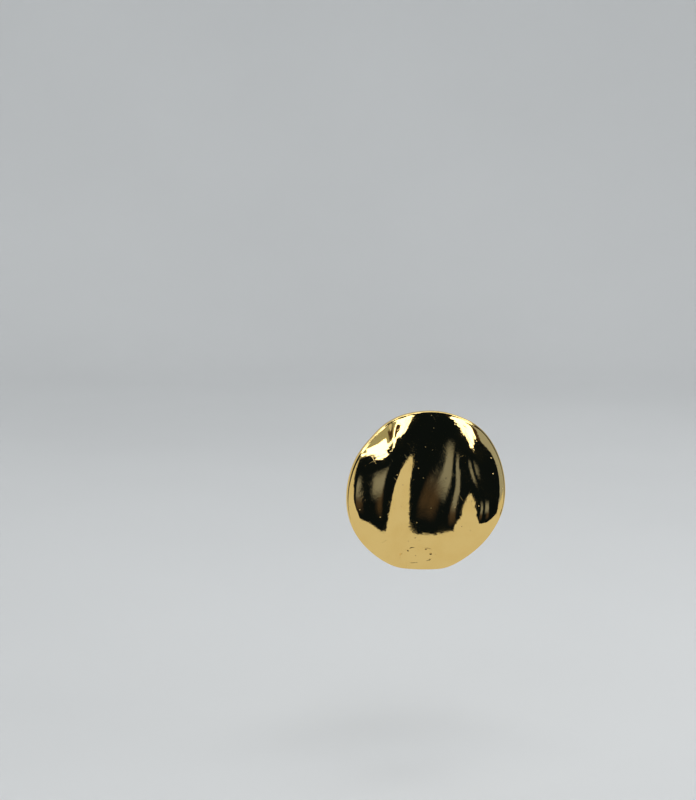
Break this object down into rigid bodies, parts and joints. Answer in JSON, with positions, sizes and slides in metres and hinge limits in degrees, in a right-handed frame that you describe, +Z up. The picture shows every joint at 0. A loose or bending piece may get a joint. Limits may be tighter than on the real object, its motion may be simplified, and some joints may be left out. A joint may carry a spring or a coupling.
{
  "type": "earring",
  "caption": "Round, domed and wavy polished gold stud earring with a straight post and a push-on ear nut.",
  "frame": {"origin": "on the post's axis, in the plane where the rearmost edge of the disc rests on the ear lobe", "axes": "+Z up as worn, the disc faces -Y, and +Y runs along the post to the back of the lobe"},
  "size_m": [0.0249, 0.0155, 0.0256],
  "materials": {
    "polished_gold": "mirror polished gold plate",
    "nut_gold": "polished gold plate"
  },
  "bodies": {
    "root": {"front_disc": "polished_gold", "ear_nut": "nut_gold"}
  },
  "joints": []
}
